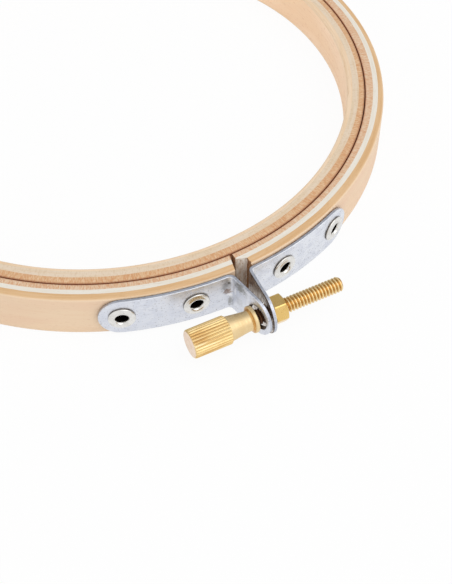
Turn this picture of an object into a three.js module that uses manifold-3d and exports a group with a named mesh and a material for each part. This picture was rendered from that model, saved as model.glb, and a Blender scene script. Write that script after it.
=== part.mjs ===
// Embroidery hoop: two bent beech hoops, one inside the other, and the screw clamp of the outer hoop.
// Millimetres, +Z up. The hoops lie flat on Z = 0 and the clamp is on the -Y side. The pieces are made
// about the hoops' centre and moved at the end, so that the origin is under the middle of the whole.

import * as THREE from 'three';
import { mergeVertices } from 'three/addons/utils/BufferGeometryUtils.js';
import Module from 'manifold-3d';

// Both hoops
const HOOP_HEIGHT = 10.4;
const CLOTH_GAP = 0.3; // room for the cloth between the two hoops
const HOOP_SIDES = 96;
const ROUNDING_STEPS = 2;
const CUT_OVERSHOOT = 1; // how far a cut runs on past the faces that it opens

// Outer hoop, measured outwards from its inner face
const OUTER_HOOP_BORE = 125.2;
const OUTER_HOOP_INNER_PLY = 1.2;
const OUTER_HOOP_CORE_PLY = 1.15;
const OUTER_HOOP_OUTER_PLY = 1.85;
const OUTER_HOOP_ROUNDING = 0.4;

// Inner hoop, measured inwards from its outer face
const INNER_HOOP_OUTER_PLY = 1.8;
const INNER_HOOP_CORE_PLY = 1.5;
const INNER_HOOP_INNER_PLY = 0.7;
const INNER_HOOP_ROUNDING = 0.5;

// Saw cut through the outer hoop, with the outer ply torn back on the right of it
const SLIT_WIDTH = 0.6;
const SLIT_LEFT_FLARE = 1.3; // how much further left the cut is at the outer face
const TORN_PLY_LENGTH = 2.3;
const TEAR_DEPTH = 0.7; // how deep the tear goes into the core ply at the saw cut

// Clamp brackets, bent from steel strip
const STRIP_THICKNESS = 0.8;
const STRIP_WIDTH = 9.7;
const LEFT_STRIP_BOTTOM = 0.6;
const RIGHT_STRIP_BOTTOM = 0.1;
const LEFT_STRAP_END_ANGLE = 26.1; // degrees from the saw cut to the strap's far end
const RIGHT_STRAP_END_ANGLE = 25.8;
const STRAP_STEP_ANGLE = 2.5;
const LEFT_BEND_RADIUS = 1; // inside the bend
const RIGHT_BEND_RADIUS = 0.7;
const BEND_STEPS = 6;
const LEFT_BEND_X = -2.52; // where the middle of the ear, carried on, would meet the middle of the strap
const LEFT_EAR_LEAN = 9; // degrees towards the other ear
const RIGHT_BEND_X = 1.68;
const RIGHT_EAR_LEAN = 5;
const END_STEPS = 12;
const END_PUNCH_DEPTH = 5;
const EAR_LENGTH = 12.2; // from the strap's outer face to the tip of the ear
const SEAT_GAP = 0.15; // between a strap and the wood, and between an eyelet and what it holds

// Eyelets that hold the straps to the wood
const EYELET_ANGLES = [8.9, 22];
const EYELET_FLANGE_DIAMETER = 5.7;
const EYELET_FLANGE_HEIGHT = 0.7;
const EYELET_BORE = 2.6;
const EYELET_WALL = 0.35;
const EYELET_CLINCH_DIAMETER = 4.6;
const EYELET_CLINCH_HEIGHT = 0.45;
const EYELET_SIDES = 20;
const EYELET_ROLL_STEPS = 5;

// Thumbscrew, one turned piece: knurled head, tapered neck, collar and threaded shank
const SCREW_REACH = 8.3; // from the strap's outer face to the screw's axis
const SCREW_SKEW = 2.35; // degrees that the screw stands askew in the ear holes
const EAR_HOLE_DIAMETER = 5;
const EAR_HOLE_BEVEL = 0.45;
const COLLAR_X = -2.22; // face of the collar that bears on the left ear
const HEAD_DIAMETER = 6.16;
const HEAD_LENGTH = 8.4;
const HEAD_RIDGES = 28;
const RIDGE_DEPTH = 0.22;
const HEAD_CHAMFER = 0.25;
const NECK_START_DIAMETER = 5.35;
const NECK_END_DIAMETER = 4.4;
const NECK_LENGTH = 4.8;
const NECK_ROOT = 1; // how far the neck runs on into the head
const COLLAR_DIAMETER = 5.85;
const COLLAR_LENGTH = 1.3;
const SHANK_DIAMETER = 3.3;
const SHANK_LENGTH = 20.2;
const SHANK_CHAMFER = 0.4;
const TURNED_SIDES = 32;

// Hexagon nut
const NUT_ACROSS_FLATS = 5.5;
const NUT_THICKNESS = 2.9;
const NUT_CHAMFER = 0.25;
const NUT_X = 1.52; // face of the nut that bears on the right ear
const NUT_TURN = -2; // degrees
const THREAD_GAP = 0.08;

const outerHoopInnerFace = OUTER_HOOP_BORE / 2;
const outerHoopCoreInside = outerHoopInnerFace + OUTER_HOOP_INNER_PLY;
const outerHoopCoreOutside = outerHoopCoreInside + OUTER_HOOP_CORE_PLY;
const outerHoopOuterFace = outerHoopCoreOutside + OUTER_HOOP_OUTER_PLY;
const innerHoopOuterFace = outerHoopInnerFace - CLOTH_GAP;
const innerHoopCoreOutside = innerHoopOuterFace - INNER_HOOP_OUTER_PLY;
const innerHoopCoreInside = innerHoopCoreOutside - INNER_HOOP_CORE_PLY;
const innerHoopInnerFace = innerHoopCoreInside - INNER_HOOP_INNER_PLY;
const strapInnerFace = outerHoopOuterFace + SEAT_GAP;
const strapOuterFace = strapInnerFace + STRIP_THICKNESS;
const leftStripMiddle = LEFT_STRIP_BOTTOM + STRIP_WIDTH / 2;
const rightStripMiddle = RIGHT_STRIP_BOTTOM + STRIP_WIDTH / 2;
const screwRadius = strapOuterFace + SCREW_REACH;
const screwHeight = (leftStripMiddle + rightStripMiddle) / 2;
const [nearEyelet, farEyelet] = EYELET_ANGLES;
const eyeletPlaces = {
  left_far_eyelet: { angle: -farEyelet, height: leftStripMiddle },
  left_near_eyelet: { angle: -nearEyelet, height: leftStripMiddle },
  right_near_eyelet: { angle: nearEyelet, height: rightStripMiddle },
  right_far_eyelet: { angle: farEyelet, height: rightStripMiddle },
};
const radians = THREE.MathUtils.degToRad;
const degrees = THREE.MathUtils.radToDeg;

const wasm = await Module();
wasm.setup();

// Joining and cutting

function toSolid(geometry) {
  const plain = geometry.clone();
  plain.deleteAttribute('normal');
  plain.deleteAttribute('uv');
  const merged = mergeVertices(plain, 1e-5);
  return new wasm.Manifold(new wasm.Mesh({
    numProp: 3,
    vertProperties: new Float32Array(merged.attributes.position.array),
    triVerts: new Uint32Array(merged.index.array),
  }));
}

function toGeometry(solid) {
  const mesh = solid.getMesh();
  const geometry = new THREE.BufferGeometry();
  geometry.setAttribute('position', new THREE.BufferAttribute(new Float32Array(mesh.vertProperties), 3));
  geometry.setIndex(new THREE.BufferAttribute(new Uint32Array(mesh.triVerts), 1));
  const facets = geometry.toNonIndexed();
  facets.computeVertexNormals();
  return facets;
}

function cut(geometry, ...tools) {
  let solid = toSolid(geometry);
  for (const tool of tools) {
    solid = solid.subtract(toSolid(tool));
  }
  return toGeometry(solid);
}

function join(...geometries) {
  let solid = toSolid(geometries[0]);
  for (const geometry of geometries.slice(1)) {
    solid = solid.add(toSolid(geometry));
  }
  return toGeometry(solid);
}

// The same solid on the other side of the Y-Z plane, its faces still pointing outwards
function mirrored(geometry) {
  return toGeometry(toSolid(geometry).mirror([1, 0, 0]));
}

// Basic forms

// A closed section of [radius, height] points, turned about Z
function turned(section, sides) {
  const points = section.map(([radius, height]) => new THREE.Vector2(radius, height));
  return new THREE.LatheGeometry(points, sides).rotateX(Math.PI / 2);
}

// A solid of revolution about X: [x, radius] points from the axis back to the axis
function turnedAboutX(profile, sides) {
  const points = profile.map(([x, radius]) => new THREE.Vector2(radius, x));
  return new THREE.LatheGeometry(points, sides).rotateZ(-Math.PI / 2);
}

function slab(outline, bottom, top) {
  const shape = new THREE.Shape(outline.map(([x, y]) => new THREE.Vector2(x, y)));
  const settings = { depth: top - bottom, bevelEnabled: false };
  return new THREE.ExtrudeGeometry(shape, settings).translate(0, 0, bottom);
}

// Part of a circle between two directions, as [u, v] points
function arcPoints(centreU, centreV, radius, startAngle, endAngle, steps) {
  const points = [];
  for (let step = 0; step <= steps; step += 1) {
    const angle = radians(startAngle + (endAngle - startAngle) * step / steps);
    points.push([centreU + radius * Math.cos(angle), centreV + radius * Math.sin(angle)]);
  }
  return points;
}

// Places a form made along +Z so that it points outwards from the hoop at an angle from the saw cut
function outwardAt(geometry, angle, radius, height) {
  const direction = radians(angle - 90);
  return geometry
    .rotateY(Math.PI / 2)
    .rotateZ(direction)
    .translate(radius * Math.cos(direction), radius * Math.sin(direction), height);
}

// Hoops

function plainPly(inside, outside) {
  return turned([
    [inside, 0],
    [outside, 0],
    [outside, HOOP_HEIGHT],
    [inside, HOOP_HEIGHT],
    [inside, 0],
  ], HOOP_SIDES);
}

function plyRoundedOutside(inside, outside, rounding) {
  const centre = outside - rounding;
  return turned([
    [inside, 0],
    ...arcPoints(centre, rounding, rounding, -90, 0, ROUNDING_STEPS),
    ...arcPoints(centre, HOOP_HEIGHT - rounding, rounding, 0, 90, ROUNDING_STEPS),
    [inside, HOOP_HEIGHT],
    [inside, 0],
  ], HOOP_SIDES);
}

function plyRoundedInside(inside, outside, rounding) {
  const centre = inside + rounding;
  return turned([
    [outside, 0],
    [outside, HOOP_HEIGHT],
    ...arcPoints(centre, HOOP_HEIGHT - rounding, rounding, 90, 180, ROUNDING_STEPS),
    ...arcPoints(centre, rounding, rounding, 180, 270, ROUNDING_STEPS),
    [outside, 0],
  ], HOOP_SIDES);
}

// The saw cut opens to the left on its way out, and the torn outer ply leaves a slope on the right
function sawCut() {
  const inside = innerHoopOuterFace;
  const outside = strapOuterFace;
  const left = -SLIT_WIDTH / 2;
  const right = SLIT_WIDTH / 2;
  const outline = [
    [left, -inside],
    [left - SLIT_LEFT_FLARE, -outside],
    [right + TORN_PLY_LENGTH, -outside],
    [right + TORN_PLY_LENGTH, -outerHoopCoreOutside],
    [right, -outerHoopCoreOutside + TEAR_DEPTH],
    [right, -inside],
  ];
  return slab(outline, -CUT_OVERSHOOT, HOOP_HEIGHT + CUT_OVERSHOOT);
}

function eyeletHole({ angle, height }) {
  const radius = EYELET_BORE / 2 + EYELET_WALL + SEAT_GAP;
  const depth = strapOuterFace - innerHoopOuterFace;
  const hole = new THREE.CylinderGeometry(radius, radius, 2 * depth, EYELET_SIDES).rotateX(Math.PI / 2);
  return outwardAt(hole, angle, outerHoopOuterFace, height);
}

// The recess in the inner face that takes an eyelet's clinched end
function eyeletRecess({ angle, height }) {
  const radius = EYELET_CLINCH_DIAMETER / 2 + SEAT_GAP;
  const depth = EYELET_CLINCH_HEIGHT + 2 * SEAT_GAP;
  const recess = new THREE.CylinderGeometry(radius, radius, 2 * depth, EYELET_SIDES).rotateX(Math.PI / 2);
  return outwardAt(recess, angle, outerHoopInnerFace, height);
}

function outerHoopCuts() {
  const places = Object.values(eyeletPlaces);
  return [sawCut(), ...places.map(eyeletHole), ...places.map(eyeletRecess)];
}

// Brackets

// Centre line of the right bracket's strip seen from above: strap, bend and ear
function stripLine({ endAngle, bendX, bendRadius, lean }) {
  const middleRadius = strapInnerFace + STRIP_THICKNESS / 2;
  const bend = bendRadius + STRIP_THICKNESS / 2;
  const alongEar = new THREE.Vector2(-Math.sin(radians(lean)), -Math.cos(radians(lean)));
  const outOfEar = new THREE.Vector2(Math.cos(radians(lean)), -Math.sin(radians(lean)));
  // the bend's centre is one bend radius from the ear's line, and as far outside the strap's circle
  const centre = new THREE.Vector2(bendX, -middleRadius).addScaledVector(outOfEar, bend);
  const reach = centre.dot(alongEar);
  const shift = Math.sqrt(reach ** 2 - centre.lengthSq() + (middleRadius + bend) ** 2) - reach;
  centre.addScaledVector(alongEar, shift);
  const bendAngle = degrees(Math.asin(centre.x / centre.length()));
  const steps = Math.ceil((endAngle - bendAngle) / STRAP_STEP_ANGLE);
  const line = [];
  for (let step = 0; step < steps; step += 1) {
    const angle = radians(endAngle + (bendAngle - endAngle) * step / steps);
    line.push([middleRadius * Math.sin(angle), -middleRadius * Math.cos(angle)]);
  }
  line.push(...arcPoints(centre.x, centre.y, bend, 90 + bendAngle, 180 - lean, BEND_STEPS));
  const [lastX, lastY] = line[line.length - 1];
  const drop = strapOuterFace + EAR_LENGTH + lastY;
  line.push([lastX - drop * Math.tan(radians(lean)), lastY - drop]);
  return line;
}

// A strip of constant thickness along a line, seen from above
function stripOutline(line) {
  const half = STRIP_THICKNESS / 2;
  const leftSide = [];
  const rightSide = [];
  line.forEach(([x, y], index) => {
    const [beforeX, beforeY] = line[Math.max(index - 1, 0)];
    const [afterX, afterY] = line[Math.min(index + 1, line.length - 1)];
    const along = new THREE.Vector2(afterX - beforeX, afterY - beforeY).normalize();
    leftSide.push([x - along.y * half, y + along.x * half]);
    rightSide.push([x + along.y * half, y - along.x * half]);
  });
  return [...leftSide, ...rightSide.reverse()];
}

// What is punched away to leave a half-round end at +X, drawn flat in X and Y about the end's middle
function endPunch(radius) {
  const outside = radius + CUT_OVERSHOOT;
  const shape = new THREE.Shape();
  shape.moveTo(0, -radius);
  shape.absarc(0, 0, radius, -Math.PI / 2, Math.PI / 2, false);
  shape.lineTo(0, outside);
  shape.lineTo(outside, outside);
  shape.lineTo(outside, -outside);
  shape.lineTo(0, -outside);
  const settings = { depth: END_PUNCH_DEPTH, bevelEnabled: false, curveSegments: END_STEPS };
  return new THREE.ExtrudeGeometry(shape, settings).translate(0, 0, -END_PUNCH_DEPTH / 2);
}

// The screw's hole through an ear, bevelled at the ear's outer face
function earHole([tipX, tipY], leanAngle, height) {
  const radius = EAR_HOLE_DIAMETER / 2;
  const hole = new THREE.CylinderGeometry(radius, radius, 2 * EAR_LENGTH, EYELET_SIDES)
    .rotateZ(Math.PI / 2)
    .translate(0, -screwRadius, height);
  const earX = tipX - (screwRadius + tipY) * Math.tan(leanAngle);
  const outerFaceX = earX + STRIP_THICKNESS / 2 / Math.cos(leanAngle);
  const reach = EAR_HOLE_BEVEL + CUT_OVERSHOOT;
  const bevel = new THREE.CylinderGeometry(radius + reach, radius, reach, EYELET_SIDES)
    .translate(0, CUT_OVERSHOOT - reach / 2, 0)
    .rotateZ(-Math.PI / 2 - leanAngle)
    .translate(outerFaceX, -screwRadius, height);
  return [hole, bevel];
}

// The right bracket; the left one is made the same way and then mirrored
function bracket({ endAngle, bendX, bendRadius, lean, bottom }) {
  const line = stripLine({ endAngle, bendX, bendRadius, lean });
  const blank = slab(stripOutline(line), bottom, bottom + STRIP_WIDTH);
  const middle = bottom + STRIP_WIDTH / 2;
  const endRadius = STRIP_WIDTH / 2;
  const strapRadius = (strapInnerFace + strapOuterFace) / 2;
  const endMiddle = endAngle - degrees(endRadius / strapRadius);
  const strapEnd = outwardAt(endPunch(endRadius).rotateZ(Math.PI / 2), endMiddle, strapRadius, middle);
  const [tipX, tipY] = line[line.length - 1];
  const leanAngle = radians(lean);
  const earEnd = endPunch(endRadius)
    .rotateX(Math.PI / 2)
    .rotateZ(-Math.PI / 2 - leanAngle)
    .translate(tipX + endRadius * Math.sin(leanAngle), tipY + endRadius * Math.cos(leanAngle), middle);
  const holes = EYELET_ANGLES.map((angle) => eyeletHole({ angle, height: middle }));
  return cut(blank, strapEnd, earEnd, ...earHole([tipX, tipY], leanAngle, middle), ...holes);
}

// Eyelets

// Made along Z with the flange's seat at Z = 0 and the barrel below it
function eyelet() {
  const bore = EYELET_BORE / 2;
  const barrel = bore + EYELET_WALL;
  const clinch = EYELET_CLINCH_DIAMETER / 2;
  const rollHalf = (EYELET_FLANGE_DIAMETER / 2 - bore) / 2;
  const roll = arcPoints(0, 0, 1, 0, 180, EYELET_ROLL_STEPS)
    .map(([u, v]) => [bore + rollHalf * (1 + u), EYELET_FLANGE_HEIGHT * v]);
  const end = outerHoopInnerFace - strapOuterFace;
  return turned([
    [bore, end],
    [clinch, end],
    [clinch, end + EYELET_CLINCH_HEIGHT],
    [barrel, end + EYELET_CLINCH_HEIGHT],
    [barrel, 0],
    ...roll,
    [bore, end],
  ], EYELET_SIDES);
}

// Thumbscrew, made along X with the collar's bearing face at X = 0

function ridgedBar(radius, ridgeCount, depth, start, end) {
  const outline = [];
  for (let step = 0; step < 2 * ridgeCount; step += 1) {
    const angle = Math.PI * step / ridgeCount;
    const reach = step % 2 === 0 ? radius : radius - depth;
    outline.push([reach * Math.cos(angle), reach * Math.sin(angle)]);
  }
  return slab(outline, start, end).rotateY(Math.PI / 2);
}

function thumbscrew() {
  const neckStart = -COLLAR_LENGTH - NECK_LENGTH;
  const headStart = neckStart - HEAD_LENGTH;
  const headRadius = HEAD_DIAMETER / 2;
  const collar = COLLAR_DIAMETER / 2;
  const shank = SHANK_DIAMETER / 2;
  const chamferedHead = turnedAboutX([
    [headStart, 0],
    [headStart, headRadius - HEAD_CHAMFER],
    [headStart + HEAD_CHAMFER, headRadius],
    [neckStart - HEAD_CHAMFER, headRadius],
    [neckStart, headRadius - HEAD_CHAMFER],
    [neckStart, 0],
  ], 2 * HEAD_RIDGES);
  const knurl = ridgedBar(headRadius, HEAD_RIDGES, RIDGE_DEPTH, headStart, neckStart);
  const head = toGeometry(toSolid(knurl).intersect(toSolid(chamferedHead)));
  const rest = turnedAboutX([
    [neckStart - NECK_ROOT, 0],
    [neckStart - NECK_ROOT, NECK_START_DIAMETER / 2],
    [neckStart, NECK_START_DIAMETER / 2],
    [-COLLAR_LENGTH, NECK_END_DIAMETER / 2],
    [-COLLAR_LENGTH, collar],
    [0, collar],
    [0, shank],
    [SHANK_LENGTH - SHANK_CHAMFER, shank],
    [SHANK_LENGTH, shank - SHANK_CHAMFER],
    [SHANK_LENGTH, 0],
  ], TURNED_SIDES);
  return join(head, rest);
}

// Nut, made along X with its bearing face at X = 0

function nut() {
  const corner = NUT_ACROSS_FLATS / 2 / Math.cos(Math.PI / 6);
  const hexagon = turnedAboutX([[0, 0], [0, corner], [NUT_THICKNESS, corner], [NUT_THICKNESS, 0]], 6);
  const blank = turnedAboutX([
    [0, 0],
    [0, corner - NUT_CHAMFER],
    [NUT_CHAMFER, corner],
    [NUT_THICKNESS - NUT_CHAMFER, corner],
    [NUT_THICKNESS, corner - NUT_CHAMFER],
    [NUT_THICKNESS, 0],
  ], TURNED_SIDES);
  const boreRadius = SHANK_DIAMETER / 2 + THREAD_GAP;
  const bore = turnedAboutX([
    [-CUT_OVERSHOOT, 0],
    [-CUT_OVERSHOOT, boreRadius],
    [NUT_THICKNESS + CUT_OVERSHOOT, boreRadius],
    [NUT_THICKNESS + CUT_OVERSHOOT, 0],
  ], TURNED_SIDES);
  return toGeometry(toSolid(hexagon).intersect(toSolid(blank)).subtract(toSolid(bore)));
}

const steel = { color: 0xc9ced8, metalness: 0.9, roughness: 0.35 };
const nickel = { color: 0xd9d9d2, metalness: 1, roughness: 0.2 };
const brass = { color: 0xd9b05a, metalness: 1, roughness: 0.25 };
const speckledBeech = { color: 0xd9a97d, metalness: 0, roughness: 0.7 };
const paleBeech = { color: 0xe6e1d2, metalness: 0, roughness: 0.7 };
const goldenBeech = { color: 0xdeba8f, metalness: 0, roughness: 0.55 };

const group = new THREE.Group();

function addPiece(name, geometry, finish, parent = group) {
  const mesh = new THREE.Mesh(geometry, new THREE.MeshStandardMaterial(finish));
  mesh.name = name;
  parent.add(mesh);
  return mesh;
}

addPiece('inner_hoop_outer_ply', plainPly(innerHoopCoreOutside, innerHoopOuterFace), speckledBeech);
addPiece('inner_hoop_core_ply', plainPly(innerHoopCoreInside, innerHoopCoreOutside), paleBeech);
addPiece(
  'inner_hoop_inner_ply',
  plyRoundedInside(innerHoopInnerFace, innerHoopCoreInside, INNER_HOOP_ROUNDING),
  goldenBeech,
);

addPiece(
  'outer_hoop_inner_ply',
  cut(plainPly(outerHoopInnerFace, outerHoopCoreInside), ...outerHoopCuts()),
  speckledBeech,
);
addPiece(
  'outer_hoop_core_ply',
  cut(plainPly(outerHoopCoreInside, outerHoopCoreOutside), ...outerHoopCuts()),
  paleBeech,
);
addPiece(
  'outer_hoop_outer_ply',
  cut(plyRoundedOutside(outerHoopCoreOutside, outerHoopOuterFace, OUTER_HOOP_ROUNDING), ...outerHoopCuts()),
  goldenBeech,
);
const rightBracket = bracket({
  endAngle: RIGHT_STRAP_END_ANGLE,
  bendX: RIGHT_BEND_X,
  bendRadius: RIGHT_BEND_RADIUS,
  lean: RIGHT_EAR_LEAN,
  bottom: RIGHT_STRIP_BOTTOM,
});
const leftBracket = mirrored(bracket({
  endAngle: LEFT_STRAP_END_ANGLE,
  bendX: -LEFT_BEND_X,
  bendRadius: LEFT_BEND_RADIUS,
  lean: LEFT_EAR_LEAN,
  bottom: LEFT_STRIP_BOTTOM,
}));
addPiece('right_bracket', rightBracket, steel);
addPiece('left_bracket', leftBracket, steel);

for (const [name, { angle, height }] of Object.entries(eyeletPlaces)) {
  addPiece(name, outwardAt(eyelet(), angle, strapOuterFace + SEAT_GAP, height), nickel);
}

const clampScrew = new THREE.Group();
clampScrew.position.set(0, -screwRadius, screwHeight);
clampScrew.rotation.z = -radians(SCREW_SKEW);
group.add(clampScrew);
addPiece('thumbscrew', thumbscrew(), brass, clampScrew).position.x = COLLAR_X;
const nutPiece = addPiece('nut', nut(), brass, clampScrew);
nutPiece.position.x = NUT_X;
nutPiece.rotation.x = radians(NUT_TURN);

// The origin goes under the middle of the whole, clamp included
const whole = new THREE.Box3().setFromObject(group, true);
const middle = whole.getCenter(new THREE.Vector3());
for (const child of group.children) {
  child.position.x -= middle.x;
  child.position.y -= middle.y;
}

export default group;
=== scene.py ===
# Embroidery hoop: two bent beech plywood hoops and the brass and steel clamp that draws the outer one tight.
# Sizes are in millimetres and MM turns them into the scene's metres. +Z is up, the clamp is on the -Y side.

import math

import bmesh
import bpy
from mathutils import Matrix, Vector, noise
from mathutils.geometry import delaunay_2d_cdt


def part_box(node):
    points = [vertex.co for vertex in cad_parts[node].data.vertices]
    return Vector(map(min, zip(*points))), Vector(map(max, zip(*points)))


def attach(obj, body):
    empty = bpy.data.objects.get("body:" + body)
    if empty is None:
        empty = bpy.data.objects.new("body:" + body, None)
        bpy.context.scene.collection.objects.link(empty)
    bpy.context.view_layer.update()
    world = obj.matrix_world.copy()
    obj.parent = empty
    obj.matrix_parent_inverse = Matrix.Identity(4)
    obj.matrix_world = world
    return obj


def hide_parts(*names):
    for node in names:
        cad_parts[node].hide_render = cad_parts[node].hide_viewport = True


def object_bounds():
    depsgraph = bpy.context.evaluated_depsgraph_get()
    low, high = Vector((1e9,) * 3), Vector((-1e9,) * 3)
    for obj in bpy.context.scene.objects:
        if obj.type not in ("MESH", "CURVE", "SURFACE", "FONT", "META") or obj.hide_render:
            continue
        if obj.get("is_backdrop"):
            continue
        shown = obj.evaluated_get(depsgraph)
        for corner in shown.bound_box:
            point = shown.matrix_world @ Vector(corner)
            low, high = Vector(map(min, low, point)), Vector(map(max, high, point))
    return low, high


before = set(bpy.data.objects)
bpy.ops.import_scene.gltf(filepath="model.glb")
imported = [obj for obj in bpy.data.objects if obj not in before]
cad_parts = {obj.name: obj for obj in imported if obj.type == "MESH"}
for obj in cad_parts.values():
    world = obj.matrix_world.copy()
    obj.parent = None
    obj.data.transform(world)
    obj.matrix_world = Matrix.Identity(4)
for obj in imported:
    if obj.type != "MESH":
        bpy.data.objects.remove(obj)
cad_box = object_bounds()

MM = 0.001

# Inner hoop
# Three beech veneers, glued and bent round a former while damp. The speckled outer one shows its end grain
# on the sanded edges, the pale core and the thin golden inner one lie lengthways. Cloth is laid over it.

HOOP_HEIGHT = 10.4
HOOP_STEPS = 480
INNER_HOOP_INSIDE = 58.3
INNER_HOOP_GOLDEN_GLUE = 59.15
INNER_HOOP_SPECKLED_GLUE = 60.65
INNER_HOOP_OUTSIDE = 62.4
INNER_HOOP_LEVELS = 4
INNER_HOOP_ROUNDING = 0.5
# The corners where the two hoops rub on each other are sharper
RUBBED_ROUNDING = 0.15

core_low, core_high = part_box("inner_hoop_core_ply")
hoop_centre = Vector((0, (core_low.y + core_high.y) / 2, 0))


def linear(hex_colour):
    """Linear colour of an sRGB value such as E6E1D2."""
    channels = [int(hex_colour[start:start + 2], 16) / 255 for start in (0, 2, 4)]
    return [((c + 0.055) / 1.055) ** 2.4 if c > 0.04045 else c / 12.92 for c in channels] + [1]


def set_inputs(owner, node, inputs):
    """Sets a node's inputs, each to a value or by a link from the socket of another node."""
    for name, value in inputs.items():
        if isinstance(value, bpy.types.NodeSocket):
            owner.node_tree.links.new(value, node.inputs[name])
        else:
            node.inputs[name].default_value = value


def add_node(owner, kind, inputs=None, **settings):
    """Adds a shader node to a material or a world, with its settings and inputs."""
    node = owner.node_tree.nodes.new("ShaderNode" + kind)
    for name, value in settings.items():
        setattr(node, name, value)
    set_inputs(owner, node, inputs or {})
    return node


def computed(owner, operation, *values):
    """Result of one calculation on numbers."""
    return add_node(owner, "Math", dict(enumerate(values)), operation=operation).outputs[0]


def computed_vector(owner, operation, *values):
    """Result of one calculation on vectors, which is a number for a length or a dot product."""
    outputs = add_node(owner, "VectorMath", dict(enumerate(values)), operation=operation).outputs
    return outputs["Value" if operation in ("LENGTH", "DOT_PRODUCT") else "Vector"]


def ramp(owner, value, start, full, low=0, high=1):
    """A number that goes from low to high while the value goes from start to full."""
    return add_node(
        owner, "MapRange",
        {"Value": value, "From Min": start, "From Max": full, "To Min": low, "To Max": high},
    ).outputs[0]


def new_material(name):
    """A named material and its surface shader."""
    material = bpy.data.materials.new(name)
    material.use_nodes = True
    return material, material.node_tree.nodes["Principled BSDF"]


# Sockets of the Mix node when it mixes colours
MIX_A, MIX_B, MIXED = 6, 7, 2
# The grain's sizes along the hoop are true at this radius
GRAIN_RADIUS = 62.5


def millimetres_round_hoop(material):
    """Place in the wood: millimetres round the hoop, out from its centre, and up."""
    place = add_node(material, "TexCoord").outputs["Object"]
    centred = computed_vector(material, "MULTIPLY_ADD", place, [1 / MM] * 3, -hoop_centre / MM)
    part = add_node(material, "SeparateXYZ", {0: centred}).outputs
    towards_clamp = computed(material, "MULTIPLY", part["Y"], -1)
    turn = computed(material, "ARCTAN2", part["X"], towards_clamp)
    along = computed(material, "MULTIPLY", turn, GRAIN_RADIUS)
    level = add_node(material, "CombineXYZ", {"X": part["X"], "Y": part["Y"]}).outputs[0]
    out = computed_vector(material, "LENGTH", level)
    return add_node(material, "CombineXYZ", {"X": along, "Y": out, "Z": part["Z"]}).outputs[0]


def tinted(material, colour, tint, cover):
    """Lays a tint over a colour as far as the cover says."""
    mix = add_node(material, "Mix", {0: cover, MIX_A: colour, MIX_B: linear(tint)}, data_type="RGBA")
    return mix.outputs[MIXED]


def noise_grain(material, place, size, detail):
    """Soft noise between 0 and 1, its grains of the given size in mm along each axis."""
    scaled = computed_vector(material, "DIVIDE", place, size)
    return add_node(material, "TexNoise", {"Vector": scaled, "Scale": 1, "Detail": detail}).outputs["Fac"]


def patterned(material, place, ground, patterns):
    """Lays noise patterns over a ground colour and returns the colour and the last pattern's strength.
    Each pattern is a colour, its grain size in mm along each axis, noise detail, the noise values between
    which it comes up, and how far it then covers what is under it."""
    colour = linear(ground)
    for tint, size, detail, start, full, cover in patterns:
        shown = ramp(material, noise_grain(material, place, size, detail), start, full, high=cover)
        colour = tinted(material, colour, tint, shown)
    return colour, shown


def beech(name, ground, patterns, roughness=0.62, sanding_and_shade=None):
    """Bare sanded beech: matt, with fibres that follow the hoop. Where sanding has changed its colour, or
    where painted shade darkens it beside the gap between the hoops, sanding_and_shade is the tint, the axis
    (Y outwards, Z up) and the places in mm between which it comes up."""
    material, surface = new_material(name)
    place = millimetres_round_hoop(material)
    colour, pores = patterned(material, place, ground, patterns)
    if sanding_and_shade:
        tint, axis, start, full = sanding_and_shade
        reach = add_node(material, "SeparateXYZ", {0: place}).outputs[axis]
        colour = tinted(material, colour, tint, ramp(material, reach, start, full))
    pitted = add_node(
        material, "Bump", {"Strength": 0.25, "Distance": 0.05 * MM, "Height": pores}, invert=True
    )
    set_inputs(
        material, surface, {"Base Color": colour, "Normal": pitted.outputs[0], "Roughness": roughness}
    )
    return material


def bent_block(rows, columns, levels, place, closed):
    """Skin of a block bent round the hoop, its corners given in mm by place(row, column, level). Edge faces
    take finish 0, faces round the hoop finish 1, and the ends of an open block finish 2."""
    skin = bmesh.new()
    corners = {}

    def corner(row, column, level):
        key = (row % rows if closed else row, column, level)
        if key not in corners:
            corners[key] = skin.verts.new(Vector(place(*key)) * MM + hoop_centre)
        return corners[key]

    def face(finish, *keys):
        skin.faces.new([corner(*key) for key in keys]).material_index = finish

    for row in range(rows):
        for column in range(columns):
            for level in (0, levels):
                face(0, (row, column, level), (row + 1, column, level),
                     (row + 1, column + 1, level), (row, column + 1, level))
        for level in range(levels):
            for column in (0, columns):
                face(1, (row, column, level), (row + 1, column, level),
                     (row + 1, column, level + 1), (row, column, level + 1))
    for row in [] if closed else (0, rows):
        for column in range(columns):
            for level in range(levels):
                face(2, (row, column, level), (row, column + 1, level),
                     (row, column + 1, level + 1), (row, column, level + 1))
    return skin


# An edge that turns by more degrees than this stays crisp
SHARP_TURN = 32


def new_piece(name, skin, finishes, body, node, placement=None):
    """Turns a skin into a piece that rides on its body in the place of its CAD node."""
    bmesh.ops.recalc_face_normals(skin, faces=skin.faces)
    for face in skin.faces:
        face.smooth = True
    mesh = bpy.data.meshes.new(name)
    skin.to_mesh(mesh)
    skin.free()
    mesh.set_sharp_from_angle(angle=math.radians(SHARP_TURN))
    for finish in finishes:
        mesh.materials.append(finish)
    piece = bpy.data.objects.new(name, mesh)
    bpy.context.scene.collection.objects.link(piece)
    if placement:
        piece.matrix_world = placement
    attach(piece, body)
    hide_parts(node)
    return piece


# The veneers nearer the middle of the hoop are thicker over a stretch on the right, given in degrees
SWELL = 0.55
SWELL_MIDDLE = 74
SWELL_REACH = 52
# How closely a glue line's waves follow each other, and how far they make it stray
GLUE_WAVES = ((1.6, 0.12), (16, 0.05))


def swell(angle):
    """How much farther out the glue lines run at an angle."""
    away = min(abs(math.degrees(angle) - SWELL_MIDDLE) / SWELL_REACH, 1)
    return SWELL * (1 + math.cos(math.pi * away)) / 2


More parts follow.
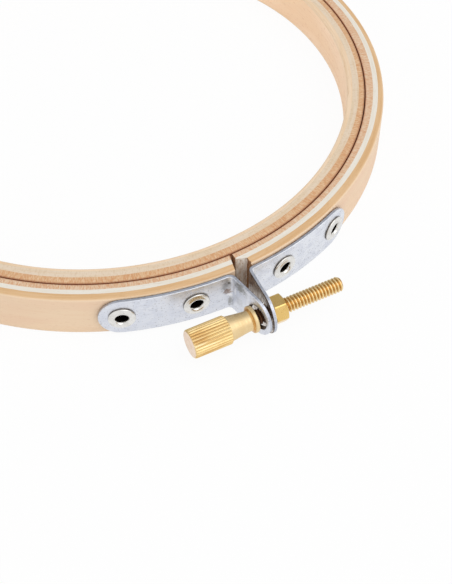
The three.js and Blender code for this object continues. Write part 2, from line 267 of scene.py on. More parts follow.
def glue_line(radius, angle, seed):
    """Radius of a glue line, which strays from true in slow and quick waves as no veneer is quite even."""
    radius += swell(angle)
    for pace, stray in GLUE_WAVES:
        radius += stray * noise.noise(Vector((math.sin(angle) * pace, math.cos(angle) * pace, seed)))
    return radius


def closed_veneer(profile):
    """An uncut veneer. The profile runs outwards: radius, how far the edge is eased there, glue line seed."""
    def place(row, column, level):
        radius, eased, seed = profile[column]
        angle = 2 * math.pi * row / HOOP_STEPS
        if seed:
            radius = glue_line(radius, angle, seed)
        height = eased + (HOOP_HEIGHT - 2 * eased) * level / INNER_HOOP_LEVELS
        return radius * math.sin(angle), -radius * math.cos(angle), height

    return bent_block(HOOP_STEPS, len(profile) - 1, INNER_HOOP_LEVELS, place, closed=True)


def eased_edge(face_radius, rounding, inwards, steps):
    """Profile points of a sanded-over corner at a veneer's free face."""
    points = []
    for step in range(steps + 1):
        turn = math.pi / 2 * step / steps
        depth = rounding * (1 - math.sin(turn))
        points.append((face_radius + inwards * depth, rounding * (1 - math.cos(turn)), None))
    return points if inwards < 0 else points[::-1]


# Fibres of a beech veneer seen from the side: soft lines along the hoop with short brown rays
inner_wall = beech(
    "beech inner wall", "FFE2C4",
    [("F6D2AC", (30, 1, 9), 1, 0.42, 0.68, 0.7),
     ("EBC099", (9, 1, 0.35), 3, 0.52, 0.74, 0.5),
     ("D39D74", (1.4, 1, 0.22), 0, 0.72, 0.76, 0.35)],
)
pressed_face = beech(
    "beech face under the cloth", "E2BC98",
    [("D6A67D", (14, 1, 4), 1, 0.42, 0.68, 0.7),
     ("C98F66", (0.35, 1, 1.3), 1, 0.6, 0.7, 0.7)],
    # Painted shade: darker towards the top, where this face shows down the narrow gap between the hoops
    sanding_and_shade=("8A4A2A", "Z", 9.2, 9.9),
)
# Sanded edges. Beech pores are under 0.1 mm across, so the ticks are drawn 0.2 mm wide to show at all
inner_speckled_edge = beech(
    "speckled beech edge of the inner hoop", "DCB58B",
    [("D2A478", (3, 1.5, 3), 2, 0.4, 0.66, 0.4),
     ("EDCDA9", (0.22, 0.9, 1), 1, 0.5, 0.64, 0.5),
     ("CA8450", (0.16, 0.9, 1), 1, 0.45, 0.6, 0.55)],
    # Painted shade: darker towards the outer corner, beside the gap between the hoops
    sanding_and_shade=("8E4E2C", "Y", 62.0, 62.5),
)
inner_pale_edge = beech(
    "pale beech edge of the inner hoop", "E5D2BB",
    [("DEC5A3", (7, 0.5, 1), 2, 0.42, 0.66, 0.7),
     ("CDAE8A", (0.25, 0.6, 1), 1, 0.52, 0.66, 0.35)],
)
inner_golden_edge = beech(
    "golden beech edge of the inner hoop", "F0D6B8",
    [("E6C7A2", (8, 0.4, 1), 2, 0.42, 0.66, 0.8),
     ("C99A6C", (1.8, 0.2, 1), 1, 0.66, 0.74, 0.4)],
)

# Two veneers meet at the same profile point, so their glue line strays alike
inner_golden_glue = (INNER_HOOP_GOLDEN_GLUE, 0, 3.1)
inner_speckled_glue = (INNER_HOOP_SPECKLED_GLUE, 0, 7.7)
golden_inner_skin = closed_veneer(
    eased_edge(INNER_HOOP_INSIDE, INNER_HOOP_ROUNDING, inwards=1, steps=5) + [inner_golden_glue]
)
new_piece(
    "inner_hoop_golden_veneer", golden_inner_skin, [inner_golden_edge, inner_wall],
    "inner_hoop", "inner_hoop_inner_ply",
)
pale_inner_skin = closed_veneer([inner_golden_glue, inner_speckled_glue])
new_piece(
    "inner_hoop_pale_veneer", pale_inner_skin, [inner_pale_edge, inner_pale_edge],
    "inner_hoop", "inner_hoop_core_ply",
)
speckled_inner_skin = closed_veneer(
    [inner_speckled_glue] + eased_edge(INNER_HOOP_OUTSIDE, RUBBED_ROUNDING, inwards=-1, steps=3)
)
new_piece(
    "inner_hoop_speckled_veneer", speckled_inner_skin, [inner_speckled_edge, pressed_face],
    "inner_hoop", "inner_hoop_outer_ply",
)

# Outer hoop
# Bent and glued from three veneers like the inner one, then sawn through so that the clamp can close it.
# On the right of the cut the outer veneer has torn away and left a slope of broken fibres in the core.

OUTER_HOOP_INSIDE = 62.6
OUTER_HOOP_SPECKLED_GLUE = 63.95
OUTER_HOOP_GOLDEN_GLUE = 65.1
OUTER_HOOP_OUTSIDE = 66.8
OUTER_HOOP_ROUNDING = 0.4
OUTER_HOOP_LEVELS = 14
CUT_HALF = 0.3
CUT_FLARE = 1.3
CUT_FLARE_RADIUS = 67.75
TEAR_RADIUS = 64.25
TEAR_LENGTH = 2.3
TORN_COLUMNS = 7
TORN_COLUMN_WIDTH = 0.1
TORN_VENEER_MIDDLE = 66.1
SPLINTER_LENGTH = 0.15
SPLINTER_LEAD = 0.4
# Coarse and fine splinters: how closely they follow each other outwards and upwards, and their seed
SPLINTER_GRAINS = ((5, 1.1, 5), (11, 4, 9))


def right_end(radius):
    """How far right of the middle of the cut the wood starts."""
    torn = (radius - TEAR_RADIUS) / (OUTER_HOOP_GOLDEN_GLUE - TEAR_RADIUS)
    return CUT_HALF + TEAR_LENGTH * min(max(torn, 0), 1)


def left_end(radius):
    """How far left of the middle of the cut the wood ends: the saw ran slightly askew."""
    return CUT_HALF + CUT_FLARE * (radius - INNER_HOOP_OUTSIDE) / (CUT_FLARE_RADIUS - INNER_HOOP_OUTSIDE)


def sawn_veneer(profile):
    """A veneer with the saw cut through it, given like a closed one."""
    def place(row, column, level):
        radius, eased, seed = profile[column]
        height = eased + (HOOP_HEIGHT - 2 * eased) * level / OUTER_HOOP_LEVELS
        start = math.asin(right_end(radius) / radius)
        end = 2 * math.pi - math.asin(left_end(radius) / radius)
        if row == 0 and TEAR_RADIUS < radius < OUTER_HOOP_OUTSIDE:
            ragged = sum(
                noise.noise(Vector((radius * outwards, height * upwards, grain_seed)))
                for outwards, upwards, grain_seed in SPLINTER_GRAINS
            )
            start += SPLINTER_LENGTH * (ragged - SPLINTER_LEAD) / radius
        angle = start + (end - start) * row / HOOP_STEPS
        if seed and 0 < row < HOOP_STEPS:
            radius = glue_line(radius, angle, seed)
        elif TEAR_RADIUS <= radius < OUTER_HOOP_GOLDEN_GLUE and 0 < row < HOOP_STEPS:
            radius += swell(angle)
        return radius * math.sin(angle), -radius * math.cos(angle), height

    return bent_block(HOOP_STEPS, len(profile) - 1, OUTER_HOOP_LEVELS, place, closed=False)


def circle(along, radius, sides):
    """Points of a circle about the X axis. The radius may be a function of the angle."""
    points = []
    for side in range(sides):
        angle = 2 * math.pi * side / sides
        reach = radius(angle) if callable(radius) else radius
        points.append(Vector((along, reach * math.cos(angle), reach * math.sin(angle))))
    return points


def turned_skin(loops, finishes=None, closed=False):
    """Joins circles in turn, given in mm. The ends are closed with a flat face, or joined to each other.
    A circle may have a whole number of times the points of the next one."""
    skin = bmesh.new()
    rings = [[skin.verts.new(point * MM) for point in loop] for loop in loops]
    pairs = list(zip(rings, rings[1:] + ([rings[0]] if closed else [])))
    for index, (ring, following) in enumerate(pairs):
        ratio = len(ring) // len(following)
        for side in range(len(following)):
            after = (side + 1) % len(following)
            outside = [ring[(side * ratio + step) % len(ring)] for step in range(ratio + 1)]
            face = skin.faces.new(outside + [following[after], following[side]])
            face.material_index = finishes[index] if finishes else 0
    for end in [] if closed else (0, -1):
        cap = skin.faces.new(rings[end])
        cap.material_index = finishes[end] if finishes else 0
    return skin


def outward_at(angle, radius, height):
    """Placement of a form made along X that points out of the hoop at an angle right of the cut."""
    turn = math.radians(angle - 90)
    spot = Vector((radius * math.cos(turn), radius * math.sin(turn), height))
    return Matrix.Translation(spot * MM + hoop_centre) @ Matrix.Rotation(turn, 4, "Z")


STRIP_WIDTH = 9.7
LEFT_STRIP_FOOT = 0.6
RIGHT_STRIP_FOOT = 0.1
LEFT_STRIP_MIDDLE = LEFT_STRIP_FOOT + STRIP_WIDTH / 2
RIGHT_STRIP_MIDDLE = RIGHT_STRIP_FOOT + STRIP_WIDTH / 2
EYELET_HOLE = 1.8
CLINCH_RECESS = 2.45
CLINCH_RECESS_DEPTH = 0.75
DRILL_SIDES = 40
DRILL_PAST_WOOD = 1
# Degrees round the hoop from the cut, on either side
NEAR_EYELET = 8.9
FAR_EYELET = 22
EYELET_PLACES = {
    "left_far_eyelet": (-FAR_EYELET, LEFT_STRIP_MIDDLE),
    "left_near_eyelet": (-NEAR_EYELET, LEFT_STRIP_MIDDLE),
    "right_near_eyelet": (NEAR_EYELET, RIGHT_STRIP_MIDDLE),
    "right_far_eyelet": (FAR_EYELET, RIGHT_STRIP_MIDDLE),
}


def drill_eyelet_holes(piece):
    """Cuts the four stepped holes through a veneer, wide at the inside for the clinched ends."""
    step = OUTER_HOOP_INSIDE + CLINCH_RECESS_DEPTH
    for angle, height in EYELET_PLACES.values():
        skin = turned_skin([
            circle(OUTER_HOOP_INSIDE - DRILL_PAST_WOOD, CLINCH_RECESS, DRILL_SIDES),
            circle(step, CLINCH_RECESS, DRILL_SIDES),
            circle(step, EYELET_HOLE, DRILL_SIDES),
            circle(OUTER_HOOP_OUTSIDE + DRILL_PAST_WOOD, EYELET_HOLE, DRILL_SIDES),
        ])
        bmesh.ops.recalc_face_normals(skin, faces=skin.faces)
        mesh = bpy.data.meshes.new("drill")
        skin.to_mesh(mesh)
        skin.free()
        drill = bpy.data.objects.new("drill", mesh)
        bpy.context.scene.collection.objects.link(drill)
        drill.matrix_world = outward_at(angle, 0, height)
        hole = piece.modifiers.new("hole", "BOOLEAN")
        hole.object = drill
        hole.operation = "DIFFERENCE"
        hole.solver = "EXACT"
        bpy.context.view_layer.update()
        evaluated = piece.evaluated_get(bpy.context.evaluated_depsgraph_get())
        drilled = bpy.data.meshes.new_from_object(evaluated)
        piece.modifiers.clear()
        piece.data = drilled
        bpy.data.objects.remove(drill)


# The face is sanded finer than the edges: pinkish beige clouds, hair-fine fibres, small dark rays
outer_face = beech(
    "beech outer face", "EACFB0",
    [("E7C5A8", (22, 1, 6), 2, 0.4, 0.66, 0.8),
     ("E2BE98", (9, 1, 0.3), 3, 0.5, 0.72, 0.3),
     ("CFA27B", (0.9, 1, 0.2), 0, 0.72, 0.77, 0.3)],
    roughness=0.55,
)
outer_speckled_edge = beech(
    "speckled beech edge of the outer hoop", "E2C2A2",
    [("DAB48C", (3, 0.8, 3), 2, 0.4, 0.66, 0.4),
     ("EEDBC3", (0.22, 0.9, 1), 1, 0.5, 0.66, 0.5),
     ("CE8B5C", (0.16, 0.8, 1), 1, 0.46, 0.6, 0.55)],
    # Painted shade: darker towards the inner corner, beside the gap between the hoops
    sanding_and_shade=("9C5A34", "Y", 62.9, 62.62),
)
outer_pale_edge = beech(
    "pale beech edge of the outer hoop", "EBE5DA",
    [("E2D8C6", (6, 0.5, 1), 2, 0.42, 0.68, 0.6),
     ("D2C2A8", (1.2, 0.25, 1), 1, 0.64, 0.74, 0.3)],
)
# The face's finer sanding runs on over the eased corner of the golden edge
outer_golden_edge = beech(
    "golden beech edge of the outer hoop", "E1BB8E",
    [("D5A976", (12, 0.8, 2), 2, 0.4, 0.62, 0.7),
     ("CC9D69", (1.3, 0.4, 1), 1, 0.6, 0.74, 0.3)],
    sanding_and_shade=("EACFB0", "Y", 66.45, 66.75),
)
torn_fibres = beech(
    "torn beech fibres", "FFF8EE",
    [("D6BDA0", (0.6, 0.5, 2.5), 3, 0.42, 0.64, 0.7),
     ("A27B58", (0.25, 0.3, 0.7), 1, 0.6, 0.7, 0.5)],
    roughness=0.8,
)
sawn_end = beech(
    "sawn beech end", "B58A64",
    [("8E6242", (0.3, 0.4, 1.6), 2, 0.42, 0.66, 0.8)],
    roughness=0.75,
)

outer_speckled_glue = (OUTER_HOOP_SPECKLED_GLUE, 0, 11.3)
outer_golden_glue = (OUTER_HOOP_GOLDEN_GLUE, 0, 15.9)
speckled_outer_skin = sawn_veneer(
    eased_edge(OUTER_HOOP_INSIDE, RUBBED_ROUNDING, inwards=1, steps=3) + [outer_speckled_glue]
)
speckled_outer = new_piece(
    "outer_hoop_speckled_veneer", speckled_outer_skin, [outer_speckled_edge, pressed_face, sawn_end],
    "outer_hoop", "outer_hoop_inner_ply",
)
torn_profile = [(TEAR_RADIUS + TORN_COLUMN_WIDTH * step, 0, None) for step in range(TORN_COLUMNS)]
pale_outer_skin = sawn_veneer([outer_speckled_glue] + torn_profile + [outer_golden_glue])
pale_outer = new_piece(
    "outer_hoop_pale_veneer", pale_outer_skin, [outer_pale_edge, outer_pale_edge, torn_fibres],
    "outer_hoop", "outer_hoop_core_ply",
)
golden_outer_skin = sawn_veneer(
    [outer_golden_glue, (TORN_VENEER_MIDDLE, 0, None)]
    + eased_edge(OUTER_HOOP_OUTSIDE, OUTER_HOOP_ROUNDING, inwards=-1, steps=5)
)
golden_outer = new_piece(
    "outer_hoop_golden_veneer", golden_outer_skin, [outer_golden_edge, outer_face, sawn_end],
    "outer_hoop", "outer_hoop_outer_ply",
)
for veneer in (speckled_outer, pale_outer, golden_outer):
    drill_eyelet_holes(veneer)

# Clamp brackets
# Two strips of zinc-plated steel, blanked with half-round ends and three holes each and bent into a strap
# that follows the hoop and an ear that stands out beside the saw cut. The eyelets hold them to the wood.

STRIP_THICKNESS = 0.8
STRIP_EDGE = 0.14
STRIP_EDGE_STEPS = 3
# A strap is this far from the wood, and the eyelets' flanges this far from the strap
STRAP_PLAY = 0.15
STRAP_INSIDE = OUTER_HOOP_OUTSIDE + STRAP_PLAY
STRAP_MIDDLE = STRAP_INSIDE + STRIP_THICKNESS / 2
STRAP_OUTSIDE = STRAP_INSIDE + STRIP_THICKNESS
EAR_LENGTH = 12.2
SCREW_FROM_STRAP = 8.3
SCREW_RADIUS = STRAP_OUTSIDE + SCREW_FROM_STRAP
EAR_HOLE = 2.5
EAR_HOLE_BEVEL = 0.45
HOLE_SIDES = 40
STRAP_STEPS = 34
BEND_STEPS = 18
EAR_STEPS = 4
END_STEPS = 20


class BentStrip:
    """Centre line of the right bracket seen from above: along the hoop, round the bend and down the ear. Its
    angles are in degrees: where the strap ends round the hoop, and how far the ear leans to the cut."""

    def __init__(self, end_angle, bend_x, bend_radius, lean):
        self.end_angle = math.radians(end_angle)
        self.lean = math.radians(lean)
        self.bend = bend_radius + STRIP_THICKNESS / 2
        along_ear = Vector((-math.sin(self.lean), -math.cos(self.lean)))
        out_of_ear = Vector((math.cos(self.lean), -math.sin(self.lean)))
        # The bend's centre moves along the ear to where the bend just touches the strap's curve
        centre = Vector((bend_x, -STRAP_MIDDLE)) + out_of_ear * self.bend
        reach = centre.dot(along_ear)
        shift = math.sqrt(reach ** 2 - centre.length_squared + (STRAP_MIDDLE + self.bend) ** 2) - reach
        self.centre = centre + along_ear * shift
        self.bend_angle = math.asin(self.centre.x / self.centre.length)
        self.strap_length = (self.end_angle - self.bend_angle) * STRAP_MIDDLE
        self.turn = math.pi / 2 - self.lean - self.bend_angle
        self.bend_length = self.bend * self.turn
        self.ear_start, self.ear_normal = self.round_bend(self.turn)
        drop = STRAP_OUTSIDE + EAR_LENGTH + self.ear_start.y
        self.ear_length = drop / math.cos(self.lean)
        self.length = self.strap_length + self.bend_length + self.ear_length

    def at(self, distance):
        """Point of the centre line and the direction towards the face that shows."""
        if distance <= self.strap_length:
            angle = self.end_angle - distance / STRAP_MIDDLE
            out = Vector((math.sin(angle), -math.cos(angle)))
            return out * STRAP_MIDDLE, out
        distance -= self.strap_length
        if distance <= self.bend_length:
            return self.round_bend(distance / self.bend)
        along_ear = Vector((-math.sin(self.lean), -math.cos(self.lean)))
        return self.ear_start + along_ear * (distance - self.bend_length), self.ear_normal

    def round_bend(self, turn):
        """The same point and direction, by how far round the bend they are in radians."""
        angle = math.pi / 2 + self.bend_angle + turn
        out = Vector((math.cos(angle), math.sin(angle)))
        return self.centre + out * self.bend, -out

    def screw_distance(self):
        """Where the clamp screw's hole is, measured along the strip."""
        drop = SCREW_RADIUS + self.ear_start.y
        return self.strap_length + self.bend_length + drop / math.cos(self.lean)


def strip_stations(strip):
    """Distances along the strip that need an edge across it, close together round the bend."""
    half = STRIP_WIDTH / 2
    bend_end = strip.strap_length + strip.bend_length
    last = strip.length - half
    strap = [half + (strip.strap_length - half) * step / STRAP_STEPS for step in range(STRAP_STEPS)]
    bend = [strip.strap_length + strip.bend_length * step / BEND_STEPS for step in range(BEND_STEPS)]
    ear = [bend_end + (last - bend_end) * step / EAR_STEPS for step in range(EAR_STEPS + 1)]
    return strap + bend + ear


def strip_outline(strip, inset):
    """Outline of the flat blank, drawn inside its real edge by the inset."""
    reach = STRIP_WIDTH / 2 - inset
    stations = strip_stations(strip)

    def round_end(middle, start):
        angles = [math.radians(start + 180 * step / END_STEPS) for step in range(1, END_STEPS)]
        return [Vector((middle + reach * math.cos(a), reach * math.sin(a))) for a in angles]

    lower_side = [Vector((distance, -reach)) for distance in stations]
    upper_side = [Vector((distance, reach)) for distance in reversed(stations)]
    return lower_side + round_end(stations[-1], -90) + upper_side + round_end(stations[0], 90)


def hole_outline(distance, radius):
    """Outline of a round hole on the middle line of the flat blank."""
    angles = [2 * math.pi * side / HOLE_SIDES for side in range(HOLE_SIDES)]
    return [Vector((distance + radius * math.cos(a), radius * math.sin(a))) for a in angles]


def rungs(stations):
    """Pairs of outline points that face each other across the strip: along its sides and in both ends."""
    last = len(stations) - 1
    upper_start = last + END_STEPS
    upper_end = upper_start + last
    total = upper_end + END_STEPS
    pairs = [(index, upper_end - index) for index in range(last + 1)]
    pairs += [(last + step, upper_start - step) for step in range(1, END_STEPS // 2)]
    pairs += [(upper_end + step, total - step) for step in range(1, END_STEPS // 2)]
    return pairs


# A triangle just inside a hole's ring of 40 sides has its middle at up to 0.992 of the radius
HOLE_SHARE = 0.995
RUNG_CLEARANCE = 0.3
MERGE_DISTANCE = 1e-6


def strip_face(outlines, holes, stations):
    """Triangles of the flat blank, with the edges across it left out where they would meet a hole."""
    points = [point for outline in outlines for point in outline]
    edges = []
    first = 0
    for outline in outlines:
        count = len(outline)
        edges += [(first + step, first + (step + 1) % count) for step in range(count)]
        first += count
    blank = outlines[0]
    for left, right in rungs(stations):
        if all(abs(blank[left].x - middle) > radius + RUNG_CLEARANCE for middle, radius in holes):
            edges.append((left, right))
    points_out, _, triangles, *_ = delaunay_2d_cdt(points, edges, [], 0, MERGE_DISTANCE)
    half = STRIP_WIDTH / 2
    kept = []
    for triangle in triangles:
        middle = sum((points_out[corner] for corner in triangle), Vector((0, 0))) / 3
        nearest = min(max(middle.x, stations[0]), stations[-1])
        inside = (middle - Vector((nearest, 0))).length < half
        in_hole = any((middle - Vector((spot, 0))).length < radius * HOLE_SHARE for spot, radius in holes)
        if inside and not in_hole:
            kept.append(triangle)
    return kept


def strip_levels():
    """Levels from the strip's back to its face: how far inside the outline, and how far from the middle."""
    half = STRIP_THICKNESS / 2
    back = []
    for step in range(STRIP_EDGE_STEPS + 1):
        turn = math.pi / 2 * step / STRIP_EDGE_STEPS
        back.append((STRIP_EDGE * (1 - math.sin(turn)), -half + STRIP_EDGE * (1 - math.cos(turn))))
    front = [(inset, -depth) for inset, depth in reversed(back)]
    return back + [(0, half - EAR_HOLE_BEVEL)] + front


def bracket_skin(strip, middle, side):
    """The blank's two faces and its rounded rims, bent to the strip's line. Side is -1 for the left one.
    The screw's hole is bevelled on the face that shows. The face takes finish 0, the sheared rims finish 1,
    the back finish 2, and its corners and the screw's hole finish 3, which is painted shade."""
    levels = strip_levels()
    finishes = [3] * STRIP_EDGE_STEPS + [1, 1] + [0] * STRIP_EDGE_STEPS

    def holes(inset, depth):
        bevel = max(inset, depth - STRIP_THICKNESS / 2 + EAR_HOLE_BEVEL)
        for angle in (FAR_EYELET, NEAR_EYELET):
            yield (strip.end_angle - math.radians(angle)) * STRAP_MIDDLE, EYELET_HOLE + inset
        yield strip.screw_distance(), EAR_HOLE + bevel

    def outlines(inset, depth):
        return [strip_outline(strip, inset)] + [hole_outline(*hole) for hole in holes(inset, depth)]

    skin = bmesh.new()
    shells = []
    for level in levels:
        shell = []
        for outline in outlines(*level):
            ring = []
            for point in outline:
                on_line, out = strip.at(point.x)
                flat = on_line + out * level[1]
                place = Vector((side * flat.x, flat.y, middle + point.y))
                ring.append(skin.verts.new(place * MM + hoop_centre))
            shell.append(ring)
        shells.append(shell)
    for lower, upper, finish in zip(shells, shells[1:], finishes):
        for ring, above in zip(lower, upper):
            for index in range(len(ring)):
                after = (index + 1) % len(ring)
                rim = skin.faces.new([ring[index], ring[after], above[after], above[index]])
                rim.material_index = 3 if ring is lower[-1] else finish
    for end, finish in ((0, 2), (-1, 0)):
        corners = [vertex for ring in shells[end] for vertex in ring]
        flat_holes = list(holes(*levels[end]))
        for triangle in strip_face(outlines(*levels[end]), flat_holes, strip_stations(strip)):
            skin.faces.new([corners[index] for index in triangle]).material_index = finish
    return skin


def zinc_plate(name, ground, patterns, stains_and_painted_light=()):
    """Zinc-plated cold rolled steel, barrel finished: a bluish silver that mirrors only broad light, with
    cloudy crystals, pits and hair scratches. Each of stains_and_painted_light is a stain or a patch of
    painted
    light or shade: its middle, its reach in mm along each axis, its colour and how far it covers the plating."""
    material, surface = new_material(name)
    place = millimetres_round_hoop(material)
    colour, pits = patterned(material, place, ground, patterns)
    ragged_edge = noise_grain(material, place, (0.45, 0.45, 0.45), 2)
    for spot, reach, tint, cover in stains_and_painted_light:
        from_spot = computed_vector(material, "SUBTRACT", place, spot)
        scaled = computed_vector(material, "DIVIDE", from_spot, reach)
        far = computed_vector(material, "LENGTH", scaled)
        # The noise adds about 0.8 to the distance, so that a patch frays and ends near its reach
        ragged = computed(material, "MULTIPLY_ADD", ragged_edge, 1.6, far)
        colour = tinted(material, colour, tint, ramp(material, ragged, 1.8, 1.2, high=cover))
    clouds = noise_grain(material, place, (0.9, 0.9, 0.9), 3)
    roughness = ramp(material, clouds, 0.3, 0.7, low=0.34, high=0.5)
    uneven = add_node(material, "Bump", {"Strength": 0.12, "Distance": 0.05 * MM, "Height": clouds})
    pitted = add_node(
        material, "Bump",
        {"Strength": 0.3, "Distance": 0.03 * MM, "Height": pits, "Normal": uneven.outputs[0]}, invert=True,
    )
    set_inputs(material, surface, {
        "Base Color": colour, "Metallic": 1, "Roughness": roughness, "Normal": pitted.outputs[0],
    })
    return material


FACE_PATTERNS = [
    ("D4D8E3", (1.6, 1.6, 1.6), 3, 0.4, 0.62, 0.7),
    ("ECEDF1", (1.2, 0.5, 0.4), 2, 0.55, 0.7, 0.4),
    ("9FA0A2", (3.5, 0.25, 0.12), 2, 0.63, 0.69, 0.5),
    ("7E7A76", (0.24, 0.24, 0.24), 0, 0.72, 0.77, 0.6),
]
left_zinc = zinc_plate(
    "zinc-plated steel left", "DFE2EA", FACE_PATTERNS,
    [((-3.6, 67.9, 7.9), (1.4, 1, 2), "7C7A76", 0.6),
     ((-3.3, 67.9, 6), (1, 1, 1.1), "80614A", 0.75),
     ((-3.1, 67.9, 8.5), (0.35, 0.8, 0.4), "3C3631", 0.7),
     ((-2.9, 68.1, 3), (0.6, 0.8, 1.9), "75736D", 0.65),
     # Painted shade: darker olive grey over the upper part of the ear's face
     ((-2.3, 70.9, 9.3), (1, 2.4, 1.9), "7F7D74", 0.75),
     # Painted highlights: two pale upright streaks down the bend, drawn where the bend's highlight falls
     ((-2.6, 68.6, 8.6), (0.4, 0.4, 1.6), "F4F4F6", 0.8),
     ((-2.4, 69.2, 6.8), (0.4, 0.4, 1.4), "F4F4F6", 0.8),
     # A pale band across the strap, and a faint grey patch on the ear
     ((-3.1, 68, 4.9), (1.1, 1, 0.35), "F1F1F3", 0.8),
     ((-2.2, 70.6, 4.6), (0.8, 1.6, 1.6), "9A9A9A", 0.28)],
)
right_zinc = zinc_plate("zinc-plated steel right", "E6E9F0", FACE_PATTERNS)
# Sheared through after plating, so the rims are greyer than the faces
sheared_rim = zinc_plate("sheared steel rim", "C9CDD8", [("A9AEBA", (0.8, 0.4, 0.3), 2, 0.42, 0.64, 0.7)])
# Painted shade: dark brown on the back corners, for the shadow line where a strap meets the wood, and in the
# screw's hole
painted_shade_steel = zinc_plate("steel with painted shade", "7C6C5E", [("43362C", (0.5, 0.5, 0.5), 2, 0.42, 0.6, 0.8)])
# The backs are mottled brown, with whitish upright streaks
mottled_back = zinc_plate(
    "mottled steel back", "D2CBC4",
    [("80654F", (0.7, 1.4, 2.4), 3, 0.48, 0.64, 0.65),
     ("EFEDE9", (0.5, 0.5, 2.2), 2, 0.54, 0.66, 0.8)],
)
right_strip = BentStrip(end_angle=25.8, bend_x=1.68, bend_radius=0.7, lean=5)
new_piece(
    "right_clamp_bracket", bracket_skin(right_strip, RIGHT_STRIP_MIDDLE, side=1),
    [right_zinc, sheared_rim, mottled_back, painted_shade_steel],
    "outer_hoop", "right_bracket",
)
left_strip = BentStrip(end_angle=26.1, bend_x=2.52, bend_radius=1, lean=9)
new_piece(
    "left_clamp_bracket", bracket_skin(left_strip, LEFT_STRIP_MIDDLE, side=-1),
    [left_zinc, sheared_rim, mottled_back, painted_shade_steel],
    "outer_hoop", "left_bracket",
)

# Eyelets
# Tubular brass eyelets with bright nickel plating. Each is pushed in from outside, its flange lies on the
# strap with a raised lip round the bore, and its end is rolled over in a recess inside the hoop.

EYELET_SEAT = STRAP_OUTSIDE + STRAP_PLAY
EYELET_SIDES = 64
# Distance out from the seat and radius, from the clinched end over the flange and back down the bore
EYELET_PROFILE = [
    (-5.2, 1.35), (-5.28, 1.5), (-5.3, 1.8), (-5.24, 2.1), (-5.1, 2.26), (-4.98, 2.24), (-4.92, 2.1),
    (-4.9, 1.8), (-4.8, 1.68), (-4.4, 1.65), (-0.1, 1.65), (0, 1.75), (0, 2.5), (-0.09, 2.6), (-0.13, 2.7),
    (-0.11, 2.79), (-0.02, 2.85), (0.1, 2.85), (0.2, 2.8), (0.27, 2.7), (0.31, 2.55), (0.33, 2.38),
    (0.36, 2.25), (0.4, 2.15), (0.46, 2.05), (0.51, 1.95), (0.53, 1.84), (0.51, 1.73), (0.45, 1.62),
    (0.36, 1.52), (0.24, 1.43), (0.1, 1.36), (-0.08, 1.3), (-0.3, 1.26), (-0.6, 1.25), (-4.6, 1.25),
]
SHADED_BORE_RADIUS = 1.31
SHADED_RIM_RADIUS = 2.75


def own_millimetres(material):
    """Place in a turned piece: millimetres from its own middle, with X along its axis."""
    place = add_node(material, "TexCoord").outputs["Object"]
    return computed_vector(material, "MULTIPLY", place, [1 / MM] * 3)


def eyelet_metal(name, ground, patterns, roughness, dents=0):
    """Smooth metal. Dents is how strongly the marks of its last pattern are pressed in."""
    material, surface = new_material(name)
    colour, marks = patterned(material, own_millimetres(material), ground, patterns)
    set_inputs(material, surface, {"Base Color": colour, "Metallic": 1, "Roughness": roughness})
    if dents:
        dented = add_node(material, "Bump", {"Strength": dents, "Distance": 0.03 * MM, "Height": marks})
        set_inputs(material, surface, {"Normal": dented.outputs[0]})
    return material


# Handling marks about 0.3 mm across break up the mirror
nickel_plate = eyelet_metal(
    "bright nickel plate", "E6E5E2",
    [("D9D7D3", (0.9, 0.9, 0.9), 2, 0.42, 0.62, 0.8), ("A59D92", (0.3, 0.3, 0.3), 1, 0.66, 0.74, 0.4)],
    roughness=0.24, dents=0.15,
)
# Painted shade: below the lip the bore is painted near black for the shade down the hole
painted_shade_bore = eyelet_metal(
    "eyelet bore with painted shade", "2A211A", [("16110D", (0.6, 0.6, 0.6), 2, 0.4, 0.6, 0.9)], roughness=0.6
)
# Painted shade: the flange's rim, where it curls down to the strap, is darker for the shadow against the
# strap
painted_shade_rim, rim_surface = new_material("nickel rim with painted shade")
set_inputs(painted_shade_rim, rim_surface, {"Base Color": linear("9A9084"), "Metallic": 1, "Roughness": 0.5})


def eyelet_finish(along, radius):
    """Number of the finish that an eyelet has from a point of its profile on."""
    if radius < SHADED_BORE_RADIUS:
        return 1
    return 2 if radius > SHADED_RIM_RADIUS and along < 0 else 0


eyelet_finishes = [eyelet_finish(*point) for point in EYELET_PROFILE]
eyelet_loops = [circle(along, radius, EYELET_SIDES) for along, radius in EYELET_PROFILE]
for node, (angle, height) in EYELET_PLACES.items():
    new_piece(
        "tubular_" + node, turned_skin(eyelet_loops, eyelet_finishes, closed=True),
        [nickel_plate, painted_shade_bore, painted_shade_rim],
        "outer_hoop", node, outward_at(angle, EYELET_SEAT, height),
    )

# Thumbscrew
# One piece of free-cutting brass, turned from bar: a straight-knurled head, a tapered neck, a collar that
# bears on the left ear and a shank with a rolled 0.75 mm pitch thread. It is left bare and bright.

SCREW_HEIGHT = (LEFT_STRIP_MIDDLE + RIGHT_STRIP_MIDDLE) / 2
SCREW_SKEW = 2.35
COLLAR_X = -2.22
HEAD_START = -14.5
NECK_START = -6.1
HEAD_LENGTH = NECK_START - HEAD_START
HEAD_RADIUS = 3.08
KNURL_RIDGES = 32
KNURL_DEPTH = 0.2
# Six sides to a ridge. The head's ring has three times the points of the neck's, so that the two join
HEAD_SIDES = KNURL_RIDGES * 6
SHANK_SIDES = HEAD_SIDES // 3
THREAD_START = 0.6
SHANK_LENGTH = 20.2
SHADED_LENGTH = 3.7
THREAD_RADIUS = 1.65
THREAD_DEPTH = 0.38
THREAD_PITCH = 0.75
THREAD_STEPS = 14
# Shares of half a pitch that the flat crest and the flank take
THREAD_CREST = 0.18
THREAD_FLANK = 0.7
TIP_RADIUS = 1.3
TIP_SLOPE = 0.9
FILLET_START = -1.3
FILLET_END = -0.9


